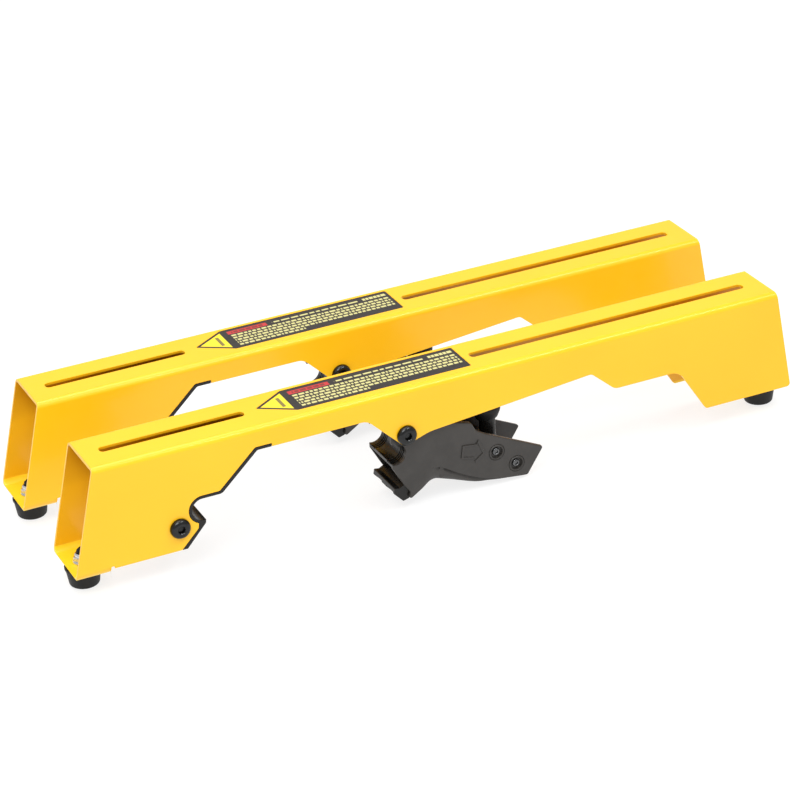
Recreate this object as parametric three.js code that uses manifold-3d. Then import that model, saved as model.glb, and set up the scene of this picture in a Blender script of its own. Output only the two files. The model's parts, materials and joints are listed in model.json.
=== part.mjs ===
// Pair of mitre-saw mounting brackets for a tubular work stand.
//
// Each bracket is a folded steel channel with two slots in its top face for the
// saw's feet. A fixed hook near the front takes the front rail of the stand's
// beam, and a spring-loaded lever clamps the rear rail. Millimetres, +Z up,
// +X towards the rear of the saw, +Y towards the second bracket. The origin is
// at the middle of the footprint, on the surface that the feet stand on.
// Inside a bracket, x runs from the front end of the top face, y from the
// middle of the channel and z from the standing surface.
import * as THREE from 'three';
import { mergeVertices } from 'three/addons/utils/BufferGeometryUtils.js';
import Module from 'manifold-3d';

const wasm = await Module();
wasm.setup();

// ---- driving dimensions ----------------------------------------------------
const TOP_LENGTH = 600;
const TOP_HEIGHT = 110;
const WIDTH = 56.3;
const SPACING = 128.3; // between the middles of the two brackets
const SHEET = 2.5;
const BEND = 5; // outside radius of the folds
const END_SLOPE = 0.246; // how far each end leans, in x per z
const WALL_BOTTOM = 21.5;
const PLATE_BOTTOM = 16.6; // underside of the folded front foot plate
const PLATE_BEND = 8; // outside radius of the folds beside that plate
const PLATE_END = 6.3;
const RELIEF = { length: 3.2, top: 23.5 }; // notch where the front foot plate's fold ends
const REAR_PLATE_START = 574;

const SLOT_WIDTH = 8.6;
const SLOTS = [[15.5, 135], [330.5, 583]];

const RAIL_Z = 52; // middle of both rails of the beam
const HOOK_RAIL_X = 85;
const JAW_RAIL_X = 251;
const RAIL_SEAT = 9.3; // radius of the liner and of the jaw round a rail
const LINER = 2.7;

const HOOK_SCREW = [64.5, 41.2];
const PIVOT = [259.4, 70];
const HANDLE_SCREWS = [[339.6, 30.5], [357, 15.6]];

const BOLT = { shank: 4.75, head: 8.35, headHeight: 4.8, socket: 3.2, socketDepth: 2.8 };
const BOLT_END = 2; // thread that stands past the nut
const SMALL_SCREW = { shank: 2.2, head: 3.4, headHeight: 1.8, socket: 1.5, socketDepth: 1 };
const NUT = { radius: 8.2, height: 6.2, bore: 5.1 };
const SMALL_NUT = { radius: 4.2, height: 2, bore: 2.5 };
const TUBE = { bore: 5.15, outside: 7 };

const FRONT_FOOT_X = -8;
const REAR_FOOT_X = 598;
const FOOT = { base: 12.2, taper: 0.17, edge: 2.5, recess: 7.5, recessDepth: 7, bore: 4.3 };
const STUD = { shank: 3.9, head: 6.6, headHeight: 4, abovePlate: 15 };
const STUD_NUT = { radius: 7.4, height: 8, bore: 4.2 };

const LEVER_HALF = 23.5; // half of the lever's width
const CHEEK = 3;
const SCREW_RECESS = 2;
const NUT_RECESS = 2.3;
const SCREW_BOSS = { outside: 6.2, inner: 17, counterbore: 5.2 }; // inner face, from the middle
const SPRING_RIB = { start: 289, end: 292.5, base: 21, top: 43.2 };
const STOP = { x: 343.3, post: 3.5, stretch: 2.09, top: 57 }; // oval, longer along x
const SPRING = { radius: 9.3, wire: 1.2, pitch: 3.2, turns: 3 };

const LABEL = { tip: 146, shoulder: 174, end: 324, middle: 2, half: 18.9, thickness: 0.3 };
const LABEL_RECESS = 0.4; // depth of the pressed field that keeps the label below the seat

const FIT = 0.3; // gap round anything that fits into something else
const TOUCH = 0.1; // gap between faces that bear on each other
const HALF = WIDTH / 2;
const INSIDE = HALF - SHEET;

// ---- materials -------------------------------------------------------------
const finish = (color, roughness, metalness) =>
  new THREE.MeshStandardMaterial({ color, roughness, metalness });
const YELLOW = finish(0xffce14, 0.42, 0);
const LABEL_PRINT = finish(0x4a443c, 0.5, 0);
const BLACK_NYLON = finish(0x24211f, 0.45, 0);
const LEVER_NYLON = finish(0x4b4744, 0.42, 0);
const RUBBER = finish(0x1b1a1a, 0.8, 0);
const BLACK_STEEL = finish(0x2c2b2c, 0.35, 0.8);
const ZINC = finish(0xc8c8c4, 0.3, 1);
const SPRING_STEEL = finish(0x6f6f72, 0.35, 1);

// ---- solid helpers ---------------------------------------------------------
function solid(geometry) {
  const bare = geometry.index ? geometry.toNonIndexed() : geometry;
  bare.deleteAttribute('normal');
  bare.deleteAttribute('uv');
  const merged = mergeVertices(bare, 1e-4);
  return new wasm.Manifold(new wasm.Mesh({
    numProp: 3,
    vertProperties: new Float32Array(merged.attributes.position.array),
    triVerts: new Uint32Array(merged.index.array),
  }));
}

function geometryOf(body) {
  const { vertProperties, triVerts } = body.getMesh();
  const geometry = new THREE.BufferGeometry();
  geometry.setAttribute('position', new THREE.BufferAttribute(vertProperties, 3));
  geometry.setIndex(new THREE.BufferAttribute(triVerts, 1));
  geometry.computeVertexNormals();
  return geometry;
}

// A closed outline through corners [a, b, fillet radius].
function outline(corners) {
  const shape = new THREE.Shape();
  const count = corners.length;
  corners.forEach(([a, b, radius = 0], i) => {
    const here = new THREE.Vector2(a, b);
    const before = new THREE.Vector2(...corners[(i + count - 1) % count]);
    const after = new THREE.Vector2(...corners[(i + 1) % count]);
    const inward = before.sub(here).normalize();
    const outward = after.sub(here).normalize();
    const place = i === 0 ? 'moveTo' : 'lineTo';
    if (radius === 0) {
      shape[place](a, b);
      return;
    }
    const halfAngle = Math.acos(THREE.MathUtils.clamp(inward.dot(outward), -1, 1)) / 2;
    const start = inward.clone().multiplyScalar(radius / Math.tan(halfAngle)).add(here);
    const end = outward.clone().multiplyScalar(radius / Math.tan(halfAngle)).add(here);
    const middle = inward.clone().add(outward).normalize();
    const centre = middle.multiplyScalar(radius / Math.sin(halfAngle)).add(here);
    const turnsRight = inward.cross(outward) > 0;
    shape[place](start.x, start.y);
    shape.absarc(centre.x, centre.y, radius, start.clone().sub(centre).angle(),
      end.clone().sub(centre).angle(), turnsRight);
  });
  return shape;
}

const ARC_STEPS = 2;

function extrude(shape, depth, arcSteps = ARC_STEPS) {
  return new THREE.ExtrudeGeometry(shape, { depth, bevelEnabled: false, curveSegments: arcSteps });
}

// An x-z outline carried across the channel from y0 to y1.
function acrossY(shape, y0, y1, arcSteps) {
  return solid(extrude(shape, y1 - y0, arcSteps).rotateX(Math.PI / 2).translate(0, y1, 0));
}

// A y-z section carried along the channel from x0 to x1.
function alongX(shape, x0, x1) {
  const turn = new THREE.Matrix4().makeBasis(
    new THREE.Vector3(0, 1, 0), new THREE.Vector3(0, 0, 1), new THREE.Vector3(1, 0, 0));
  return solid(extrude(shape, x1 - x0).applyMatrix4(turn).translate(x0, 0, 0));
}

// An x-y outline raised from z0 to z1.
function upZ(shape, z0, z1) {
  return solid(extrude(shape, z1 - z0).translate(0, 0, z0));
}

function block(x0, x1, y0, y1, z0, z1) {
  return upZ(outline([[x0, y0], [x1, y0], [x1, y1], [x0, y1]]), z0, z1);
}

// A round bar across the channel at [x, z].
function crossBar([x, z], radius, y0, y1, sides = 16) {
  const bar = new THREE.CylinderGeometry(radius, radius, y1 - y0, sides);
  return solid(bar.translate(x, (y0 + y1) / 2, z));
}

// A lathe profile of [radius, height] points turned about Y, or about Z.
function turnedY(profile, sides) {
  return new THREE.LatheGeometry(profile.map(([r, h]) => new THREE.Vector2(r, h)), sides);
}

function turnedZ(profile, sides) {
  return turnedY(profile, sides).rotateX(Math.PI / 2);
}

// A profile turned about Z and stretched along X into an oval.
function ovalZ(profile, stretch) {
  return turnedZ(profile, 20).scale(stretch, 1, 1);
}

function ring(bore, outside, low, high) {
  return [[bore, low], [outside, low], [outside, high], [bore, high], [bore, low]];
}

// ---- channel ---------------------------------------------------------------
function hookCorners(clearance) {
  const reach = LINER + clearance;
  return [
    [64.7, WALL_BOTTOM], [79.8, 36.8, 2], [81, 46], [HOOK_RAIL_X, RAIL_Z],
    [HOOK_RAIL_X, RAIL_Z + RAIL_SEAT + reach], [99.8, RAIL_Z + RAIL_SEAT + reach, 3.5],
    [131.8, 90.6 + reach, 3], [145.8, 90.6 + reach],
  ];
}

function channelSide() {
  const frontFoot = [-(TOP_HEIGHT - PLATE_BOTTOM) * END_SLOPE, PLATE_BOTTOM, 3];
  const rearFoot = [TOP_LENGTH + 12.6, WALL_BOTTOM, 3];
  const relief = PLATE_END + RELIEF.length;
  return outline([
    frontFoot, [PLATE_END, PLATE_BOTTOM], [PLATE_END, RELIEF.top], [relief, RELIEF.top],
    [relief, WALL_BOTTOM],
    ...hookCorners(0),
    [145.8, 90.5], [226.8, 90.5, 12], [256, 61.3, 4], [263, 62, 5], [280, 67.4, 30],
    [425.5, 80.4, 6], [446.5, 61.8, 9], [506, 61.8, 14], [531.3, WALL_BOTTOM, 3],
    rearFoot, [TOP_LENGTH, TOP_HEIGHT], [0, TOP_HEIGHT],
  ]);
}

function tubeSection(low, openBottom) {
  const inner = BEND - SHEET;
  const top = TOP_HEIGHT;
  if (openBottom) {
    return outline([
      [-HALF, low], [-INSIDE, low], [-INSIDE, top - SHEET, inner], [INSIDE, top - SHEET, inner],
      [INSIDE, low], [HALF, low], [HALF, top, BEND], [-HALF, top, BEND],
    ]);
  }
  const section = outline([
    [-HALF, low, PLATE_BEND], [HALF, low, PLATE_BEND], [HALF, top, BEND], [-HALF, top, BEND],
  ]);
  const floorInner = PLATE_BEND - SHEET;
  section.holes.push(outline([
    [-INSIDE, low + SHEET, floorInner], [-INSIDE, top - SHEET, inner],
    [INSIDE, top - SHEET, inner], [INSIDE, low + SHEET, floorInner],
  ]));
  return section;
}

function slotOutline([x0, x1]) {
  const r = SLOT_WIDTH / 2;
  return outline([[x0, -r, r * 0.8], [x1, -r, r * 0.8], [x1, r, r * 0.8], [x0, r, r * 0.8]]);
}

function studHole(x) {
  const hole = new THREE.CylinderGeometry(FOOT.bore, FOOT.bore, 12, 16);
  return solid(hole.rotateX(Math.PI / 2).translate(x, 0, PLATE_BOTTOM + SHEET));
}

function channel() {
  const front = alongX(tubeSection(PLATE_BOTTOM, false), -30, PLATE_END);
  const rest = alongX(tubeSection(WALL_BOTTOM, true), PLATE_END - 1, TOP_LENGTH + 20);
  const rearPlate = block(REAR_PLATE_START, TOP_LENGTH + 10, -INSIDE - 1, INSIDE + 1,
    WALL_BOTTOM, WALL_BOTTOM + SHEET);
  let body = front.add(rest).add(rearPlate);
  body = body.intersect(acrossY(channelSide(), -HALF - 5, HALF + 5));
  const hookRail = [HOOK_RAIL_X, RAIL_Z];
  body = body.subtract(crossBar(hookRail, RAIL_SEAT + LINER, -HALF - 5, HALF + 5, 24));
  for (const slot of SLOTS) {
    body = body.subtract(upZ(slotOutline(slot), TOP_HEIGHT - 6, TOP_HEIGHT + 6));
  }
  for (const hole of [HOOK_SCREW, PIVOT]) {
    body = body.subtract(crossBar(hole, 5, -HALF - 5, HALF + 5));
  }
  for (const x of [FRONT_FOOT_X, REAR_FOOT_X]) {
    body = body.subtract(studHole(x));
  }
  const field = upZ(labelOutline(FIT), TOP_HEIGHT - LABEL_RECESS, TOP_HEIGHT + 1);
  return geometryOf(body.subtract(field));
}

function labelOutline(margin) {
  const { tip, shoulder, end, middle, half } = LABEL;
  const [low, high] = [middle - half - margin, middle + half + margin];
  return outline([
    [tip - 1.5 * margin, middle, 1.2], [shoulder, low, 2], [end + margin, low, 1.5],
    [end + margin, high, 1.5], [shoulder, high, 2],
  ]);
}

function label() {
  const shape = extrude(labelOutline(0), LABEL.thickness);
  return shape.translate(0, 0, TOP_HEIGHT - LABEL_RECESS + TOUCH / 2);
}

// ---- hook ------------------------------------------------------------------
// The strip follows the hook's edge right across the channel, and two inner
// cheeks hold it between the walls.
function hookLiner() {
  const seat = RAIL_Z + RAIL_SEAT;
  const region = outline([
    [60, WALL_BOTTOM], [69.4, WALL_BOTTOM, 0.8], [86.2, 39.8, 2], [86.8, 45],
    [HOOK_RAIL_X, RAIL_Z], [HOOK_RAIL_X, seat], [101.6, seat, 6], [133.5, 90.5, 3],
    [145.5, 90.5], [145.5, 93], [120, 98], [60, 80],
  ]);
  const wallEdge = outline([
    [50, WALL_BOTTOM - 5], [64.7 - 4.9, WALL_BOTTOM - 5],
    ...hookCorners(-FIT).map(([x, z, r]) => [x + (z < RAIL_Z ? FIT : 0), z, r]),
    [145.8, 110], [50, 110],
  ]);
  const seatBar = (radius) => crossBar([HOOK_RAIL_X, RAIL_Z], radius, -HALF - 1, HALF + 1, 24);
  const strip = acrossY(region, -HALF, HALF)
    .subtract(acrossY(wallEdge, -HALF - 1, HALF + 1).subtract(seatBar(RAIL_SEAT + LINER - FIT)));
  const inner = INSIDE - FIT;
  const keep = block(50, 112, -HALF, HALF, WALL_BOTTOM + 1, 84);
  let body = strip;
  for (const side of [-1, 1]) {
    const [y0, y1] = [side * inner, side * (inner - 2)].sort((a, b) => a - b);
    body = body.add(acrossY(region, y0, y1).intersect(keep));
  }
  body = body.subtract(seatBar(RAIL_SEAT));
  return geometryOf(body.subtract(crossBar(HOOK_SCREW, TUBE.outside + FIT, -HALF, HALF)));
}

// ---- fasteners -------------------------------------------------------------
// A button-head screw along +Y whose head bears on the plane y = 0.
function screw({ shank, head, headHeight, socket, socketDepth }, length, sides) {
  const profile = [[0, -headHeight], [head * 0.5, -headHeight]];
  for (const lift of [0.82, 0.55, 0.2]) {
    profile.push([head * Math.sqrt(1 - 0.72 * lift * lift), -headHeight * lift]);
  }
  profile.push([head * 0.985, 0], [shank, 0], [shank, length], [0, length]);
  const body = solid(turnedY(profile, sides));
  const key = new THREE.CylinderGeometry(socket, socket, socketDepth * 2, 6);
  return geometryOf(body.subtract(solid(key.translate(0, -headHeight, 0))));
}

// A hexagon nut from y = 0 to y = height.
function nut({ radius, height, bore }, sides = 16) {
  const hexagon = new THREE.CylinderGeometry(radius, radius, height, 6).translate(0, height / 2, 0);
  const drill = new THREE.CylinderGeometry(bore, bore, height * 2, sides);
  return geometryOf(solid(hexagon).subtract(solid(drill.translate(0, height / 2, 0))));
}

// ---- feet ------------------------------------------------------------------
function foot(height) {
  const { base, taper, edge, recess, recessDepth, bore } = FOOT;
  const top = base + taper * (height - edge);
  const profile = [[recess, 0], [base - edge, 0], [base, edge]];
  profile.push([top, height - 2], [top, height]);
  profile.push([bore, height], [bore, recessDepth], [recess, recessDepth], [recess, 0]);
  return turnedZ(profile, 24);
}

function stud(recessTop, top) {
  const { shank, head, headHeight } = STUD;
  const under = recessTop - TOUCH;
  return turnedZ([
    [0, under - headHeight], [head * 0.8, under - headHeight], [head, under - headHeight + 1],
    [head, under], [shank, under], [shank, top - 2], [shank - 1.5, top], [0, top],
  ], 16);
}

// ---- lever -----------------------------------------------------------------
function leverOutline() {
  return outline([
    [248, 39.6, 1], [257.8, 21.4], [262.4, 15], [260.2, 9, 1.5], [263.5, 9.8, 2],
    [282, 21.4, 12], [320, 7.8, 50], [366.8, 2.2, 2.5], [382, 24.4, 1.8], [330.5, 49.6],
    [322.3, 54.8, 3], [318.5, 62.8, 6], [292, 70.3, 30], [269, 81.5, 10], [250, 81.5, 9],
    [247.8, 62.6, 1], [253, RAIL_Z], [248, 46],
  ]);
}

function leverPocket() {
  return outline([
    [235, -5], [268.5, -5], [268.5, 16.5], [282, 24.7, 9], [320, 11, 47],
    [366.8, 5.4], [400, 5.4], [400, 100], [235, 100],
  ]);
}

// One moulded half: its cheek, half of the floor, a rib for the spring's leg and
// two screw bosses. side is -1 for the near half.
function leverHalf(side, recess) {
  const span = (a, b) => [side * a, side * b].sort((p, q) => p - q);
  const parting = FIT / 2;
  let body = acrossY(leverOutline(), ...span(parting, LEVER_HALF));
  body = body.subtract(acrossY(leverPocket(), ...span(-1, LEVER_HALF - CHEEK)));
  const [ribLow, ribHigh] = span(parting, LEVER_HALF - 1);
  const rib = SPRING_RIB;
  body = body.add(block(rib.start, rib.end, ribLow, ribHigh, rib.base, rib.top));
  for (const centre of HANDLE_SCREWS) {
    body = body.add(crossBar(centre, SCREW_BOSS.outside, ...span(SCREW_BOSS.inner, LEVER_HALF - 1)));
    body = body.subtract(crossBar(centre, SMALL_SCREW.shank + FIT, ...span(10, 30), 12));
    const headRoom = span(LEVER_HALF - recess, 30);
    body = body.subtract(crossBar(centre, SCREW_BOSS.counterbore, ...headRoom));
  }
  body = body.subtract(crossBar([JAW_RAIL_X, RAIL_Z], RAIL_SEAT, ...span(-1, 30), 24));
  body = body.subtract(crossBar(PIVOT, TUBE.outside + FIT, ...span(-1, 30)));
  return geometryOf(body);
}

// The insert that bears on the rear rail: a saddle above, a toe below.
function clampJaw() {
  const reach = LEVER_HALF - CHEEK - FIT;
  const body = acrossY(outline([
    [248, 46], [248, 40.6, 1], [250, 38.2, 1], [259.5, 37.6, 3], [262.5, 24, 2.5],
    [257.5, 21.4], [253.8, 19.5], [249.6, 20.3, 0.8], [248.7, 15.8, 1.2], [256.6, 7.2, 1.5],
    [261.5, 8.6, 1.5], [267.8, 14.2], [268, 27], [266.5, 54.5], [257, 54.5], [254, RAIL_Z],
  ]), -reach, reach);
  return geometryOf(body.subtract(crossBar([JAW_RAIL_X, RAIL_Z], RAIL_SEAT, -30, 30, 24)));
}

// A torsion spring round the pivot tube: one leg bears up against the inside
// of the channel's top, the other down on the ribs of the lever.
class SpringPath extends THREE.Curve {
  constructor() {
    super();
    const degrees = Math.PI / 180;
    this.from = 150 * degrees;
    this.to = 246 * degrees + SPRING.turns * 2 * Math.PI;
    this.upperLeg = 36;
    this.lowerLeg = 42;
    this.coil = (this.to - this.from) * SPRING.radius;
    this.total = this.upperLeg + this.coil + this.lowerLeg;
  }

  getPoint(t) {
    const along = t * this.total;
    const onCoil = THREE.MathUtils.clamp(along - this.upperLeg, 0, this.coil);
    const angle = this.from + onCoil / SPRING.radius;
    const past = along - this.upperLeg - onCoil;
    const width = (this.to - this.from) / (2 * Math.PI) * SPRING.pitch;
    return new THREE.Vector3(
      PIVOT[0] + SPRING.radius * Math.cos(angle) - past * Math.sin(angle),
      width * (onCoil / this.coil - 0.5),
      PIVOT[1] + SPRING.radius * Math.sin(angle) + past * Math.cos(angle),
    );
  }
}

function torsionSpring() {
  const section = new THREE.Shape().absarc(0, 0, SPRING.wire, 0, 2 * Math.PI);
  return new THREE.ExtrudeGeometry(section, {
    extrudePath: new SpringPath(), steps: 44, curveSegments: 3, bevelEnabled: false,
  });
}

// A block that the two handle screws hold, with the post of the upper stop.
function stopArm() {
  const body = acrossY(outline([
    [334.5, 27, 2], [338, 20, 3], [351, 10, 3], [360, 9.2, 3], [362.5, 20, 3], [352, 28, 3],
    [343, 36.5, 3], [335, 36, 3],
  ]), -16.5, 16.5);
  const foundation = 24; // the post grows out of the block from here
  const post = ovalZ([[0, foundation], [STOP.post, foundation], [STOP.post, STOP.top],
    [0, STOP.top]], STOP.stretch);
  let joined = body.add(solid(post.translate(STOP.x, 0, 0)));
  for (const centre of HANDLE_SCREWS) {
    joined = joined.subtract(crossBar(centre, SMALL_SCREW.shank + FIT, -20, 20, 12));
  }
  return geometryOf(joined);
}

function stopBumper() {
  const cap = ovalZ([[0, 50.5], [5.7, 50.5], [6.4, 52], [7.7, 56], [8, 60.5], [6.4, 62], [0, 62]],
    1.5);
  const bore = STOP.post + FIT;
  const socket = ovalZ([[0, 40], [bore, 40], [bore, STOP.top + FIT], [0, STOP.top + FIT]], 2);
  return geometryOf(solid(cap).subtract(solid(socket)));
}

// ---- scene -----------------------------------------------------------------
function part(name, geometry, material, x = 0, y = 0, z = 0) {
  const mesh = new THREE.Mesh(geometry, material);
  mesh.name = name;
  mesh.position.set(x, y, z);
  return mesh;
}

// A screw through both walls, its nut on the far wall and a tube between them.
function crossBolt(prefix, [x, z]) {
  const length = WIDTH + NUT.height + BOLT_END;
  const grip = INSIDE - TOUCH;
  return [
    part(`${prefix}_screw`, screw(BOLT, length, 16), BLACK_STEEL, x, -HALF - TOUCH, z),
    part(`${prefix}_nut`, nut(NUT), BLACK_STEEL, x, HALF + TOUCH, z),
    part(`${prefix}_tube`, turnedY(ring(TUBE.bore, TUBE.outside, -grip, grip), 16), ZINC, x, 0, z),
  ];
}

function footSet(prefix, x, plate) {
  const screwUp = stud(FOOT.recessDepth, plate + STUD.abovePlate);
  const nutOnPlate = nut(STUD_NUT).rotateX(Math.PI / 2);
  return [
    part(`${prefix}_foot`, foot(plate - TOUCH), RUBBER, x),
    part(`${prefix}_foot_stud`, screwUp, BLACK_STEEL, x),
    part(`${prefix}_foot_nut`, nutOnPlate, ZINC, x, 0, plate + SHEET + TOUCH),
  ];
}

function lever(prefix) {
  const group = new THREE.Group();
  const washer = ring(TUBE.outside + FIT, 11, 0, INSIDE - LEVER_HALF - 4 * TOUCH);
  const washerY = LEVER_HALF + 2 * TOUCH;
  group.add(
    part(`${prefix}_lever_near_half`, leverHalf(-1, SCREW_RECESS), LEVER_NYLON),
    part(`${prefix}_lever_far_half`, leverHalf(1, NUT_RECESS), LEVER_NYLON),
    part(`${prefix}_clamp_jaw`, clampJaw(), BLACK_NYLON),
    part(`${prefix}_stop_arm`, stopArm(), BLACK_NYLON),
    part(`${prefix}_stop_bumper`, stopBumper(), RUBBER, STOP.x),
    part(`${prefix}_far_washer`, turnedY(washer, 16), BLACK_NYLON, PIVOT[0], washerY, PIVOT[1]),
  );
  const nearWasher = turnedY(washer, 16).rotateZ(Math.PI);
  group.add(
    part(`${prefix}_near_washer`, nearWasher, BLACK_NYLON, PIVOT[0], -washerY, PIVOT[1]));
  HANDLE_SCREWS.forEach(([x, z], i) => {
    const name = `${prefix}_handle_${i === 0 ? 'front' : 'rear'}`;
    const under = LEVER_HALF - SCREW_RECESS + TOUCH;
    const nutY = LEVER_HALF - NUT_RECESS + TOUCH;
    const length = under + nutY + SMALL_NUT.height - 0.3;
    group.add(
      part(`${name}_screw`, screw(SMALL_SCREW, length, 12), BLACK_STEEL, x, -under, z),
      part(`${name}_nut`, nut(SMALL_NUT, 10), BLACK_STEEL, x, nutY, z),
    );
  });
  return group;
}

function bracket(prefix) {
  const group = new THREE.Group();
  group.add(
    part(`${prefix}_channel`, channel(), YELLOW),
    part(`${prefix}_label`, label(), LABEL_PRINT),
    part(`${prefix}_hook_liner`, hookLiner(), BLACK_NYLON),
    ...crossBolt(`${prefix}_hook`, HOOK_SCREW),
    ...crossBolt(`${prefix}_pivot`, PIVOT),
    ...footSet(`${prefix}_front`, FRONT_FOOT_X, PLATE_BOTTOM),
    ...footSet(`${prefix}_rear`, REAR_FOOT_X, WALL_BOTTOM),
    part(`${prefix}_torsion_spring`, torsionSpring(), SPRING_STEEL),
    lever(prefix),
  );
  return group;
}

const brackets = new THREE.Group();
const middleX = (FRONT_FOOT_X + REAR_FOOT_X) / 2;
const boltOffset = (BOLT.headHeight - NUT.height - BOLT_END) / 2;
for (const [name, side] of [['near', -1], ['far', 1]]) {
  const group = bracket(name);
  group.position.set(-middleX, side * SPACING / 2 + boltOffset, 0);
  brackets.add(group);
}

export default brackets;
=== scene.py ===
"""Looks for a pair of mitre-saw mounting brackets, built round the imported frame.

Shapes are worked out in millimetres in the frame of one bracket: x runs from the
front end of its top face, y from the middle of its channel and z from the floor.
Both brackets share these meshes, and each stands where its pivot tube is.
"""
import json
import math

import bmesh
import bpy
import numpy as np
from mathutils import Matrix, Vector
from mathutils.geometry import delaunay_2d_cdt

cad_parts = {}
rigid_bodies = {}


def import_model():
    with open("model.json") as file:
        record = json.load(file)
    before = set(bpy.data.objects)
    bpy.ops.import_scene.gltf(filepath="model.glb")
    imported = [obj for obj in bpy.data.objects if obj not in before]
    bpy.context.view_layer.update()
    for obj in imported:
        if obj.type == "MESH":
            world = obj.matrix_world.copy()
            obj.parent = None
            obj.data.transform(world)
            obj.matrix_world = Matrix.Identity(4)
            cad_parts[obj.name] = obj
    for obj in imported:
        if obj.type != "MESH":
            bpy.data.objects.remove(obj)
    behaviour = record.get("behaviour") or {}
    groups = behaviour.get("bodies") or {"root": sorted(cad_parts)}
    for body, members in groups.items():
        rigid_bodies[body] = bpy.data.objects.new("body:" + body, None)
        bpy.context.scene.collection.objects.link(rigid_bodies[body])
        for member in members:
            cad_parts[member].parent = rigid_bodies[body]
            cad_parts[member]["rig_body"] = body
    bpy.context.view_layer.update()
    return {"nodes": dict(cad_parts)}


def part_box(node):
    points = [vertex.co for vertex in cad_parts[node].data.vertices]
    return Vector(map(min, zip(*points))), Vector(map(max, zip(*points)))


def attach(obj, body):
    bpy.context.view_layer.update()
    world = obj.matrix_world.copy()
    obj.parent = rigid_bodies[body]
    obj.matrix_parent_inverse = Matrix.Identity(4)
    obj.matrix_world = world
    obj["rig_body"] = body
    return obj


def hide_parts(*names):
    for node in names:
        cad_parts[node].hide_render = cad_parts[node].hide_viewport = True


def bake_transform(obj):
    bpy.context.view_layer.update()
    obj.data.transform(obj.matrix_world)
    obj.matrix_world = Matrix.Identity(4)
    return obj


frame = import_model()
MM = 0.001

# ---- sizes of one bracket, in millimetres ----------------------------------
TOP_LENGTH, TOP_HEIGHT, WIDTH = 600, 110, 56.3
SHEET, BEND, END_SLOPE = 2.5, 5, 0.246
WALL_BOTTOM, PLATE_BOTTOM, PLATE_END, PLATE_BEND = 21.5, 16.6, 6.3, 8
RELIEF, RELIEF_TOP = 3.2, 23.5
SLOT_WIDTH = 8.6
SLOTS = [(15.5, 135), (330.5, 583)]
RAIL_Z, HOOK_RAIL_X, JAW_RAIL_X, RAIL_SEAT, LINER = 52, 85, 251, 9.3, 2.7
HOOK_SCREW, PIVOT = (64.5, 41.2), (259.4, 70)
CROSS_HOLE, TUBE_OUTSIDE, TUBE_HOLE = 5, 7, 7.3
HANDLE_SCREWS = [(339.6, 30.5), (357, 15.6)]
HANDLE_HOLE, HANDLE_BOSS, HEAD_HOLE, HEAD_SINK, NUT_SINK = 2.5, 6.2, 5.2, 2, 2.3
FRONT_FOOT_X, REAR_FOOT_X = -8, 598
FOOT_HOLE, STUD_RADIUS, STUD_REACH = 4.3, 3.9, 15
LEVER_HALF, CHEEK = 23.5, 3
STOP_X, STOP_POST, STOP_STRETCH, STOP_TOP = 343.3, 3.5, 2.09, 57
LABEL_TIP, LABEL_SHOULDER, LABEL_END, LABEL_MIDDLE, LABEL_HALF = 146, 174, 324, 2, 18.9
LABEL_RECESS = 0.4
HALF = WIDTH / 2
INSIDE = HALF - SHEET
FIT, TOUCH = 0.3, 0.1  # a clear gap, and the hair's breadth between touching parts
ROUND = 72  # sides of the large round cuts
OUT = 5  # how far a cutting tool reaches past what it cuts


# ---- mesh helpers ----------------------------------------------------------
def rounded(corners, step=math.radians(7)):
    """A closed outline through corners (a, b, fillet radius), with fine arcs."""
    points = []
    for i, (a, b, *fillet) in enumerate(corners):
        here = Vector((a, b))
        if not fillet:
            points.append(here)
            continue
        inward = (Vector(corners[i - 1][:2]) - here).normalized()
        outward = (Vector(corners[(i + 1) % len(corners)][:2]) - here).normalized()
        half = inward.angle(outward) / 2
        centre = here + (inward + outward).normalized() * (fillet[0] / math.sin(half))
        reach = fillet[0] / math.tan(half)
        first = here + inward * reach - centre
        last = here + outward * reach - centre
        turn = math.atan2(first.cross(last), first.dot(last))
        steps = max(2, math.ceil(abs(turn) / step))
        for k in range(steps + 1):
            points.append(centre + Matrix.Rotation(turn * k / steps, 2) @ first)
    return points


def circle(centre, radius, sides=48):
    """A closed round outline."""
    angles = [2 * math.pi * k / sides for k in range(sides)]
    return [Vector((centre[0] + radius * math.cos(t), centre[1] + radius * math.sin(t)))
            for t in angles]


def closed_mesh(verts, faces):
    """A mesh in millimetres whose faces all point out."""
    mesh = bpy.data.meshes.new("shape")
    mesh.from_pydata([tuple(v) for v in verts], [], faces)
    shape = bmesh.new()
    shape.from_mesh(mesh)
    bmesh.ops.remove_doubles(shape, verts=shape.verts, dist=1e-5)
    bmesh.ops.recalc_face_normals(shape, faces=shape.faces)
    shape.to_mesh(mesh)
    shape.free()
    return mesh


def prism(points, axis, low, high):
    """An outline carried along an axis: x-z along Y, y-z along X, x-y along Z."""
    place = {
        "X": lambda a, b, c: (c, a, b),
        "Y": lambda a, b, c: (a, c, b),
        "Z": lambda a, b, c: (a, b, c),
    }[axis]
    n = len(points)
    verts = [place(a, b, low) for a, b in points] + [place(a, b, high) for a, b in points]
    sides = [(i, (i + 1) % n, n + (i + 1) % n, n + i) for i in range(n)]
    return closed_mesh(verts, [tuple(range(n)), tuple(range(n, 2 * n)), *sides])


def bar(centre, radius, low, high, sides=48, axis="Y"):
    return prism(circle(centre, radius, sides), axis, low, high)


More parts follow.
